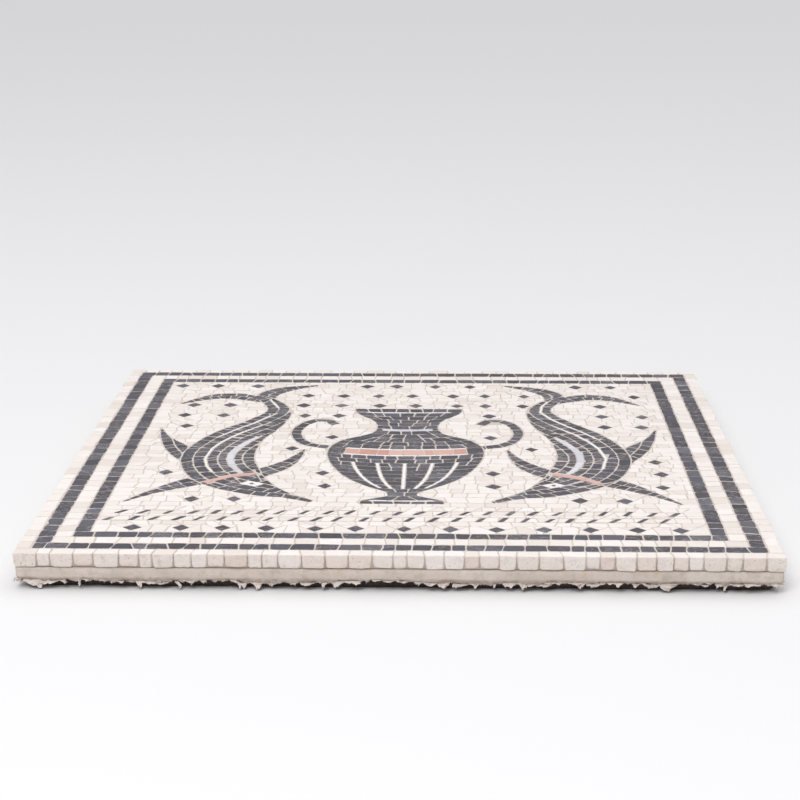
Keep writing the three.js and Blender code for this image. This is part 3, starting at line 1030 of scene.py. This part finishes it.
def mortar_flakes():
    """Torn flakes that hang under the side: plates that taper and curl downwards, with ragged, thin lower ends."""
    outline, way, at, total = round_the_slab(BED_SETBACK, FLAKES)
    along = np.stack([-way[:, 1], way[:, 0]], 1)
    outline = outline + rng.uniform(-4, 4, (FLAKES, 1)) * along
    s = np.linspace(-1, 1, FLAKE_COLUMNS)[None, None]
    t = np.linspace(0, 1, FLAKE_ROWS)[None, :, None]
    one_each, all_points = (FLAKES, 1, 1), (FLAKES, FLAKE_ROWS, FLAKE_COLUMNS)
    wide = rng.uniform(0.7, 7.5, one_each) * rng.uniform(0.5, 1.0, one_each)
    tall = 1.0 + 3.6 * rng.uniform(0, 1, one_each) ** 2
    lean = rng.normal(0, 1.2, one_each)
    curl = rng.uniform(-1.6, 1.6, one_each)
    draw = rng.uniform(0.6, 2.4, one_each)
    thick = rng.uniform(0.5, 1.3, one_each)
    ragged = rng.uniform(0.45, 1.0, (FLAKES, 1, FLAKE_COLUMNS))
    sideways = wide * s * (1 - 0.55 * t**1.5) + lean * t + rng.normal(0, 0.3, all_points)
    start = lip_bottom(at, total)[:, None, None] + 0.6
    height = start - tall * t * ragged * (1 - 0.35 * s**2) + rng.normal(0, 0.12, all_points)
    bulge = 0.5 * (1 - s**2) + rng.normal(0, 0.22, all_points)
    front = -draw + curl * t**2 + bulge
    back = front - thick * (1.3 - 0.9 * t) - 0.4
    sheets = []
    for out in (front, back):
        place = outline[:, None, None] + along[:, None, None] * sideways[..., None]
        place = place + way[:, None, None] * out[..., None]
        sheets.append(np.concatenate([place, height[..., None]], -1).reshape(FLAKES, -1, 3))
    points = np.concatenate(sheets, 1)
    points[..., 2] = np.maximum(points[..., 2], 0.03)
    limit = PANEL_HIGH - 0.25
    points[..., :2] = np.clip(points[..., :2], -limit, limit)
    grid = np.arange(FLAKE_ROWS * FLAKE_COLUMNS).reshape(FLAKE_ROWS, FLAKE_COLUMNS)
    face = grid_faces(grid)[:, [0, 3, 2, 1]]
    rim = grid_rim(grid)
    following = np.roll(rim, -1)
    sides = np.stack([rim, following, following + grid.size, rim + grid.size], 1)
    quads = np.concatenate([face, face[:, ::-1] + grid.size, sides])
    return build_mesh("mortar_flakes", points.reshape(-1, 3), for_each(quads, FLAKES, points.shape[1]),
                      np.zeros((0, 3), int))


def mortar_crumbs():
    """Small whitish crumbs stuck to the underside's edge: dented, angular balls, half sunk."""
    outline, way, at, total = round_the_slab(BED_SETBACK, CRUMBS)
    u = np.linspace(0, 2 * math.pi, CRUMB_SIDES, endpoint=False)
    v = np.array([0.6, 1.5, 2.5])
    ring = np.stack([
        np.sin(v)[:, None] * np.cos(u), np.sin(v)[:, None] * np.sin(u),
        np.cos(v)[:, None] * np.ones(CRUMB_SIDES)], -1)
    unit = np.concatenate([ring.reshape(-1, 3), [[0, 0, 1.0], [0, 0, -1.0]]])
    size = rng.uniform(0.2, 0.65, (CRUMBS, 1, 1)) * rng.uniform(0.6, 1.3, (CRUMBS, 1, 3))
    dents = 1 + rng.uniform(-0.38, 0.38, (CRUMBS, len(unit), 1))
    z = lip_bottom(at, total) + rng.uniform(-0.15, 0.9, CRUMBS) * size.mean((1, 2))
    draw = rng.uniform(1.6, 3.6, CRUMBS)
    points = with_height(outline - way * draw[:, None], z)[:, None] + unit[None] * size * dents
    points[..., 2] = np.maximum(points[..., 2], 0.02)
    limit = PANEL_HIGH - 0.3
    points[..., :2] = np.clip(points[..., :2], -limit, limit)
    i = np.arange(CRUMB_SIDES)
    j = (i + 1) % CRUMB_SIDES
    crown = len(v) * CRUMB_SIDES
    last = crown - CRUMB_SIDES
    tris = np.concatenate([fan(i, j, crown), fan(last + j, last + i, crown + 1)])
    quads, tris = (for_each(faces, CRUMBS, len(unit)) for faces in (ring_walls(len(v), j, i), tris))
    return build_mesh("mortar_crumbs", points.reshape(-1, 3), quads, tris)


# Materials

# Each kind of node: Blender's name, its settings, the sockets that its inputs fill in turn, and its output
KINDS = {
    "principled": ("BsdfPrincipled", {}, ("Base Color", "Roughness", "IOR", "Normal"), 0),
    "surface": ("OutputMaterial", {}, ("Surface",), None),
    "coordinates": ("TexCoord", {}, (), "Object"),
    "marks": ("Attribute", {"attribute_name": "stone"}, (), "Color"),
    "split": ("SeparateColor", {}, (0,), 0),
    "height": ("SeparateXYZ", {}, (0,), 2),
    "shift": ("VectorMath", {"operation": "MULTIPLY_ADD"}, (0, 1, 2), 0),
    "stretch": ("Mapping", {}, ("Vector", "Scale"), 0),
    "noise": ("TexNoise", {}, ("Vector", "Scale", "Detail", "Roughness"), "Fac"),
    "range": ("MapRange", {"clamp": True}, (0, 1, 2, 3, 4), 0),
    "mix": ("Mix", {"data_type": "RGBA"}, (0, 6, 7), 2),
    "bump": ("Bump", {}, ("Height", "Strength", "Distance"), 0),
    "add": ("Math", {"operation": "ADD"}, (0, 1), 0),
    "subtract": ("Math", {"operation": "SUBTRACT"}, (0, 1), 0),
    "multiply": ("Math", {"operation": "MULTIPLY"}, (0, 1), 0),
    "absolute": ("Math", {"operation": "ABSOLUTE"}, (0,), 0),
}
STONE_SHIFT = (0.37, 0.41, 0.29)
STONE_IOR, SLATE_IOR, MORTAR_IOR = 1.5, 1.38, 1.5
MORTAR_ROUGHNESS = 0.92
# Near black-brown: painted shade in the slab's recess under the lip, and painted shade with dirt on the underside
SHADE_AND_DIRT_BROWN = "#24160F"


def colour(hex_value):
    """An sRGB hex colour as linear red, green, blue and one: a straight line near black, and above it a power."""
    parts = [int(hex_value[i:i + 2], 16) / 255 for i in (1, 3, 5)]
    return tuple(c / 12.92 if c <= 0.04045 else ((c + 0.055) / 1.055) ** 2.4 for c in parts) + (1.0,)


def add_node(tree, kind, *inputs):
    """A node with its settings, and a value or another node's output in each socket. It returns what it gives."""
    blender_name, settings, sockets, output = KINDS[kind]
    node = tree.nodes.new("ShaderNode" + blender_name)
    for name, value in settings.items():
        setattr(node, name, value)
    for socket, value in zip(sockets, inputs):
        if isinstance(value, bpy.types.NodeSocket):
            tree.links.new(value, node.inputs[socket])
        else:
            node.inputs[socket].default_value = value
    return node if output is None else node.outputs[output]


def blotches(size_mm):
    """The noise scale whose blotches are about a real size across: one over the size in metres."""
    return 1 / (size_mm * MM)


def new_material(name):
    """A material with an empty node tree, and a short way to add nodes to it."""
    material = bpy.data.materials.new(name)
    material.use_nodes = True
    material.node_tree.nodes.clear()
    return material, partial(add_node, material.node_tree)


def covered(add, body, tint, value, low, high, most=1.0):
    """A colour that gives way to another as a value goes from low to high, by a share that ends at most."""
    return add("mix", add("range", value, low, high, 0.0, most), body, tint)


def graded(add, value, stops):
    """A colour that passes through hex colours at their places: each is mixed in from the place before its own."""
    (before, first), *rest = stops
    body = colour(first)
    for place, tint in rest:
        body = covered(add, body, colour(tint), value, before, place)
        before = place
    return body


def veined(add, body, tint, pattern, width, most, own):
    """A colour with thin lines of another where a noise crosses its middle, by each stone's own share."""
    off = add("absolute", add("subtract", pattern, 0.5))
    share = add("multiply", add("range", off, 0.0, width, most, 0.0), own)
    return add("mix", share, body, tint)


def stone_marks(add):
    """Coordinates, the same shifted for each stone, its share of polished face and its three random values."""
    where = add("coordinates")
    marks = add("marks")
    place, face = add("shift", marks, STONE_SHIFT, where), marks.node.outputs["Alpha"]
    return where, place, face, *add("split", marks).node.outputs


def bring_to_surface(add, body, rough, ior, height, strength, depth_mm):
    """Colour, roughness and relief of a real depth on the surface."""
    add("surface", add("principled", body, rough, ior, add("bump", height, strength, depth_mm * MM)))


def split_stone(name, stops, side, vein):
    """
    Stone split with a hammer and rubbed flat: a chalky even face, a few faint veins and pits, rough sides with
    holes. Its real grit is about 0.2 mm, and is drawn at 0.55 mm so that it shows.
    """
    material, add = new_material(name)
    where, place, face, tone, hue, third = stone_marks(add)
    vein, low, high, dirt, cast = map(colour, (vein, *side))
    cloud = add("noise", place, blotches(4.0), 5, 0.55)
    body = covered(add, graded(add, tone, stops), vein, cloud, 0.35, 0.75, 0.3)
    thread = add("noise", add("stretch", place, (1.0, 2.2, 1.0)), blotches(7.0), 3, 0.5)
    body = veined(add, body, vein, thread, 0.012, 0.5, add("range", hue, 0.62, 0.8))
    grit = add("noise", where, blotches(0.55), 3, 0.7)
    rough_side = covered(add, low, high, add("noise", where, blotches(1.6), 5, 0.7), 0.3, 0.7)
    rough_side = covered(add, rough_side, dirt, grit, 0.63, 0.74, 0.55)
    rough_side = covered(add, rough_side, dirt, add("noise", place, blotches(4.5), 4, 0.6), 0.55, 0.72, 0.55)
    rough_side = covered(add, rough_side, cast, third, 0.3, 1.0, 0.6)
    rough_side = covered(add, rough_side, dirt, add("noise", place, blotches(1.3), 2, 0.5), 0.66, 0.71, 0.85)
    rough_side = covered(add, rough_side, body, tone, 0.0, 1.0, 0.35)
    body = covered(add, add("mix", face, rough_side, body), dirt, grit, 0.63, 0.74, 0.12)
    relief = add("add", grit, add("noise", where, blotches(2.4), 3, 0.55))
    relief = add("multiply", relief, add("range", face, 0.0, 1.0, 1.0, 0.22))
    bring_to_surface(add, body, add("range", face, 0.0, 1.0, 0.9, 0.52), STONE_IOR, relief, 0.6, 0.35)
    return material


def riven_slate(name, stops, blue, brown, scratch):
    """
    Slate snapped along its bed: dark grey with blue, violet or rusty casts, fine layers and pale scratches.
    Its real layers are thinner than 1 mm, and are drawn 3 mm apart and stretched so that they show.
    """
    material, add = new_material(name)
    _, place, face, tone, hue, third = stone_marks(add)
    blue, brown, scratch, darkest, palest = map(colour, (blue, brown, scratch, stops[0][1], stops[-1][1]))
    body = covered(add, graded(add, tone, stops), blue, hue, 0.55, 1.0, 0.55)
    body = covered(add, body, brown, third, 0.72, 1.0, 0.5)
    layers = add("noise", add("stretch", place, (1.0, 3.5, 1.0)), blotches(3.0), 6, 0.65)
    body = covered(add, body, palest, layers, 0.35, 0.7, 0.35)
    body = covered(add, body, darkest, add("noise", place, blotches(1.1), 4, 0.7), 0.45, 0.8, 0.3)
    thread = add("noise", add("stretch", place, (1.0, 2.6, 1.0)), blotches(9.0), 4, 0.6)
    body = veined(add, body, scratch, thread, 0.013, 0.9, add("range", third, 0.3, 0.6, 0.15, 1.0))
    body = add("mix", add("range", face, 0.35, 0.95, 0.35, 0.0), body, scratch)
    bring_to_surface(add, body, add("range", layers, 0.3, 0.7, 0.42, 0.62), SLATE_IOR, layers, 0.5, 0.22)
    return material


def lime_mortar(name, low, high, dirt, stain, grain_mm, strength, depth_mm, lip=0.0):
    """
    Lime mortar floated with sand: matt, pale and sandy, with ochre stains and pores. Where its marks ask for it,
    it turns near black-brown: painted shade in the slab's recess, and painted shade with dirt on the underside. It
    is darker deep in the joints and, by the share given as lip, dirtier where the slab's side ends. Real sand is
    finer than the grain given, which is as coarse as it needs to show.
    """
    material, add = new_material(name)
    dirt = colour(dirt)
    where = add("coordinates")
    body = covered(add, colour(low), colour(high), add("noise", where, blotches(22), 4, 0.55), 0.3, 0.7)
    body = covered(add, body, colour(stain), add("noise", where, blotches(11), 3, 0.6), 0.58, 0.72, 0.8)
    body = covered(add, body, dirt, add("noise", where, blotches(6), 4, 0.65), 0.5, 0.75, 0.45)
    height = add("height", where)
    # Darker with depth below the stones' faces, deep in the joints
    deep = add("range", height, (STONE_TOP - 2.2) * MM, (STONE_TOP - 0.9) * MM, 0.5, 0.0)
    above = add("range", height, (STONE_FLOOR - 0.5) * MM, (STONE_FLOOR + 0.1) * MM)
    body = add("mix", add("multiply", deep, above), body, dirt)
    sandy = add("range", height, (ROUGH_HEIGHT - 0.6) * MM, (ROUGH_HEIGHT + 1.2) * MM, lip, 0.0)
    patches = add("range", add("noise", where, blotches(3.0), 4, 0.7), 0.35, 0.65, 0.3, 1.0)
    body = add("mix", add("multiply", sandy, patches), body, dirt)
    # Painted shade turns the marked mortar near black-brown: the slab's lip edge and recess, and with dirt the
    # underside's rim
    body = covered(add, body, colour(SHADE_AND_DIRT_BROWN), add("marks").node.outputs["Fac"], 0.3, 0.9, 0.95)
    fine = add("noise", where, blotches(grain_mm), 5, 0.7)
    body = covered(add, body, dirt, fine, 0.55, 0.78, 0.55)
    pores = add("range", add("noise", where, blotches(grain_mm * 0.6), 2, 0.5), 0.66, 0.74)
    body = add("mix", add("multiply", pores, 0.6), body, dirt)
    relief = add("subtract", fine, add("multiply", pores, 0.4))
    bring_to_surface(add, body, MORTAR_ROUGHNESS, MORTAR_IOR, relief, strength, depth_mm)
    return material


# The colours of split stone are those of the face, from a stone's lowest random value to its highest, those of the
# side (dark, light, dirt and cast), and the veins'.

# Split limestone, rubbed: warm chalky whites, greyer and pinker on the hewn sides
LIMESTONE = split_stone(
    "white_limestone", ((0.0, "#E9DFD8"), (0.25, "#F1E9E4"), (0.6, "#F5EEEA"), (1.0, "#F8F3F1")),
    ("#D8CCC4", "#EBE2DB", "#AB9B8E", "#D9C6BA"), "#E3D5CB")
# Riven slate: charcoal with bluish and brownish stones among the grey
SLATE = riven_slate(
    "dark_slate", ((0.0, "#3C393F"), (0.4, "#4A474D"), (0.75, "#58565C"), (1.0, "#6C6A72")),
    "#4F4F62", "#554B4A", "#C2BEC0")
# Fired clay, broken from tile: dull pinkish red, powdery and a little uneven
TERRACOTTA = split_stone(
    "terracotta_stone", ((0.0, "#C98F82"), (0.5, "#D3A296"), (1.0, "#DDB4A9")),
    ("#B4897D", "#C9A094", "#9A7468", "#AE8478"), "#E2C2B8")
# Pale marble, split and rubbed: cool lilac-grey with soft clouds
LILAC_MARBLE = split_stone(
    "lilac_grey_marble", ((0.0, "#CFCFD8"), (0.5, "#DBDBE2"), (1.0, "#E6E5EA")),
    ("#BDBAC0", "#D3D1D6", "#9C9AA2", "#C9C6CC"), "#BFC0CC")
# White marble, split and rubbed: the brightest stone, nearly even
BRIGHT_MARBLE = split_stone(
    "white_marble", ((0.0, "#F4F2F1"), (1.0, "#FCFBFA")),
    ("#D6D1CC", "#E8E4E0", "#B5AFA9", "#DDD6D0"), "#E6E2E0")
# Mortar wiped into the joints, dark in their depths, with ochre stains
GROUT = lime_mortar("joint_mortar", "#CBC1B9", "#DAD1CA", "#B5A99E", "#C4A07C", 0.7, 0.5, 0.25)
# The slab, cast and trowelled: beige-grey with broad stains and a sandy lower edge
MORTAR = lime_mortar("lime_mortar", "#C9BCB2", "#DACFC6", "#9F9084", "#C9B79F", 0.8, 0.7, 0.45, 0.8)
# Dry mortar torn at the lower edge: paler and whiter than the slab
CRUMB = lime_mortar("dry_mortar_crumbs", "#DDD2CA", "#E8DFD8", "#B9ACA1", "#D2C3B2", 0.7, 0.7, 0.3)


# Pieces

def lay(piece, material, slot, *nodes):
    """Gives a piece its material, and lets it ride and stand for its nodes. Its slot is not used."""
    piece.data.materials.append(material)
    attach(piece, "root")
    if nodes:
        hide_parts(*nodes)
    return piece


def lay_border(course, material, slot, seed):
    """One border course on all four sides, turned as its nodes are."""
    for quarter, side in enumerate(("front", "right", "back", "left")):
        node = f"{course}_{side}"
        low, high = node_box(node)
        size = (high - low)[:2]
        length, width = size if quarter % 2 == 0 else size[::-1]
        dark = material is SLATE
        row = border_row(length, width, seed + SIDE_SEED_STEP * quarter, 0.7 if dark else 0.5)
        row = turned(row.reshape(-1, 2), quarter).reshape(-1, 4, 2) + (low + high)[:2] / 2
        name, stones = f"{node}_stones", stones_from(row)
        if course == "outer_white":
            piece = edge_stone_piece(name, stones)
        elif dark:
            piece = stone_piece(name, stones, "dark course", corner=SLATE_CORNER)
        else:
            piece = stone_piece(name, stones, "white course")
        lay(piece, material, slot, node)


def dolphin_accents(body, side):
    """Stripes on one dolphin: the name of their stone and their points."""
    stripes = [(tint, stripe_on(body, start, end, side, joint, half)) for tint, start, end, joint, half in STRIPES]
    return stripes + [("red", band_across(body, *COLLAR))]


def take_eye(stones, turn):
    """Take the dark stone nearest a dolphin's eye out, for a white one of its shape with a dark pupil in it."""
    middle = centre_of(stones)
    away = np.hypot(*(middle - EYE_PLACE * (-1 if turn else 1, 1)).T)
    eye = away == away.min()
    angle = np.linspace(0, 2 * math.pi, PUPIL_SIDES + 1)[:-1]
    pupil = middle[eye][0] + PUPIL_RADIUS * np.stack([np.cos(angle), np.sin(angle)], 1)
    return pick(stones, ~eye), pick(stones, eye), pupil


def lay_picture():
    """Lay the figures and their accents, each stone cut round what was laid before it, and return their outlines."""
    palette = {"white": [], "lilac": [], "red": []}
    figures, outlines, pupils = {}, [], []
    for name, turn in (("left_dolphin", False), ("right_dolphin", True)):
        place, side = (mirrored, -1) if turn else (list, 1)
        body = place(DOLPHIN_BODY)
        accents = dolphin_accents(body, side)
        parts = [limb_stones(body, side=side)]
        laid = [limb_outline(body)]
        for fin in DOLPHIN_FINS:
            fin_stones = limb_stones(place(fin), stone=FIN_STONE, side=side)
            for outline in laid:
                fin_stones = cut_around(fin_stones, outline)
            parts.append(fin_stones)
            laid.append(limb_outline(place(fin)))
        stones = join_stones(*parts)
        for tint, stripe in accents:
            stripe = limb_stones(stripe, stone=STRIPE_STONE[tint], course=STRIPE_COURSE)
            stones = inlaid(stones, stripe)
            palette[tint].append(stripe)
        stones, white, pupil = take_eye(stones, turn)
        palette["white"].append(cut_out_convex(white, pupil, 0.8, 0.1))
        pupils.append(stones_from(pupil[None]))
        figures[name] = stones
        outlines += laid
    vase = vase_stones()
    vase_outline = limb_outline(VASE_PROFILE)
    parts = [vase["slate"]]
    for handle in (VASE_HANDLE, mirrored(VASE_HANDLE)):
        parts.append(cut_around(limb_stones(handle, stone=HANDLE_STONE), vase_outline))
        outlines.append(limb_outline(handle))
    outlines.append(vase_outline)
    figures["vase"] = join_stones(*parts)
    palette["white"].append(vase["white"])
    palette["lilac"].append(vase["lilac"])
    for name, stones in figures.items():
        lay(stone_piece(f"{name}_stones", stones, "figure"), SLATE, "dark_slate", name)
    lay(stone_piece("vase_band_stones", vase["red"], "band"), TERRACOTTA, "terracotta_stone", "vase_band")
    for name, tint, setting, material, slot in (
            ("white_slivers", "white", "sliver", BRIGHT_MARBLE, "white_limestone"),
            ("lilac_stones", "lilac", "accent", LILAC_MARBLE, "white_limestone"),
            ("red_stones", "red", "accent", TERRACOTTA, "terracotta_stone")):
        lay(stone_piece(name, join_stones(*palette[tint]), setting), material, slot)
    lay(stone_piece("eye_stones", join_stones(*pupils), "eye"), SLATE, "dark_slate")
    return outlines


def far_from(places, outlines, least):
    """Which places keep a distance from every outline."""
    clear = np.ones(len(places), bool)
    for outline in outlines:
        clear &= distance_to(outline, places)[0] > least
    return clear


def lay_ground(outlines):
    """The white ground with its diamonds and strokes, cut round the figures."""
    strokes = stroke_quads()
    lattice = diamond_places()
    lattice = lattice[far_from(lattice, outlines, CLEAR_OF_FIGURES)]
    lattice = lattice[far_from(lattice, strokes, CLEAR_OF_STROKES)]
    diamonds = diamonds_at(lattice)
    stones = ground_stones(lattice)
    for outline in outlines:
        stones = cut_around(stones, outline)
    for shape in (*diamonds, *strokes):
        stones = cut_out_convex(stones, shape)
    stones = worth_laying(stones, 3.0)
    lay(stone_piece("white_ground_stones", stones, "ground"), LIMESTONE, "white_limestone", "white_ground")
    lay(stone_piece("diamond_stones", stones_from(diamonds), "diamond"), SLATE, "dark_slate")
    lay(stone_piece("stroke_stones", stones_from(strokes), "stroke"), SLATE, "dark_slate")


lay_border("outer_white", LIMESTONE, "white_limestone", 1)
lay_border("outer_dark", SLATE, "dark_slate", 2)
lay_border("middle_white", LIMESTONE, "white_limestone", 3)
lay_border("inner_dark", SLATE, "dark_slate", 4)
lay_ground(lay_picture())
lay(grout_piece(), GROUT, "lime_mortar")
lay(mortar_slab(), MORTAR, "lime_mortar", "mortar_bed")
lay(mortar_underside(), MORTAR, "lime_mortar")
lay(mortar_flakes(), CRUMB, "lime_mortar")
lay(mortar_crumbs(), CRUMB, "lime_mortar")


# Floor, light and camera: the camera's place is in widths of the panel, its turn, tilt and roll in degrees, and
# its focal length in pixels of the photograph's frame

CAMERA_PLACE = np.array([0.0633, -2.692, 0.8224])
CAMERA_TURNS = (-1.541, 15.487, -0.155)
FOCAL_PIXELS, FRAME_PIXELS, SENSOR_MM = 1832.7, 800, 36


def stage_floor():
    """A plain pale floor under the slab, a little glossy."""
    bpy.ops.mesh.primitive_plane_add(size=12)
    floor = bpy.context.object
    floor.name = "floor"
    material = bpy.data.materials.new("pale_floor")
    material.use_nodes = True
    shader = material.node_tree.nodes["Principled BSDF"]
    shader.inputs["Base Color"].default_value = colour("#EDEDEE")
    shader.inputs["Roughness"].default_value = 0.6
    floor.data.materials.append(material)


def add_light(kind, name, source, power, **settings):
    """A lamp that shines on the panel's middle from a place in metres, or as a SUN from that side of the sky."""
    light = bpy.data.lights.new(name, kind)
    light.energy = power
    for key, value in settings.items():
        setattr(light, key, value)
    lamp = bpy.data.objects.new(name, light)
    lamp.location = source
    lamp.rotation_euler = Vector(source).to_track_quat("Z", "Y").to_euler()
    bpy.context.scene.collection.objects.link(lamp)


def set_world(strength):
    """An even, nearly white light from all round."""
    world = bpy.data.worlds.new("studio")
    world.use_nodes = True
    background = world.node_tree.nodes["Background"]
    background.inputs["Color"].default_value = colour("#FBFAFC")
    background.inputs["Strength"].default_value = strength
    bpy.context.scene.world = world


def set_camera():
    """A camera as the photograph's was, with its X, Y and Z along the frame's right, its top and back from it."""
    turn, tilt, roll = (math.radians(v) for v in CAMERA_TURNS)
    place = CAMERA_PLACE * PANEL_WIDTH + np.array([0, 0, STONE_TOP])
    ahead = np.array([math.sin(turn) * math.cos(tilt), math.cos(turn) * math.cos(tilt), -math.sin(tilt)])
    right = np.array([math.cos(turn), -math.sin(turn), 0])
    up = np.cross(right, ahead)
    rows = np.stack([
        right * math.cos(roll) + up * math.sin(roll), up * math.cos(roll) - right * math.sin(roll), -ahead], 1)
    lens = bpy.data.cameras.new("camera")
    lens.sensor_width = SENSOR_MM
    lens.lens = FOCAL_PIXELS / FRAME_PIXELS * SENSOR_MM
    lens.clip_end = 50
    camera = bpy.data.objects.new("camera", lens)
    bpy.context.scene.collection.objects.link(camera)
    camera.matrix_world = Matrix([(*row, spot * MM) for row, spot in zip(rows, place)] + [(0, 0, 0, 1)])
    bpy.context.scene.camera = camera


stage_floor()
set_world(0.44)
add_light("SUN", "overhead", (0.1, 0.22, 1.0), 1.2, angle=math.radians(75))
add_light("AREA", "window", (-0.7, -1.9, 2.3), 42, shape="DISK", size=1.8)
set_camera()
bpy.context.scene.view_settings.view_transform = "Standard"
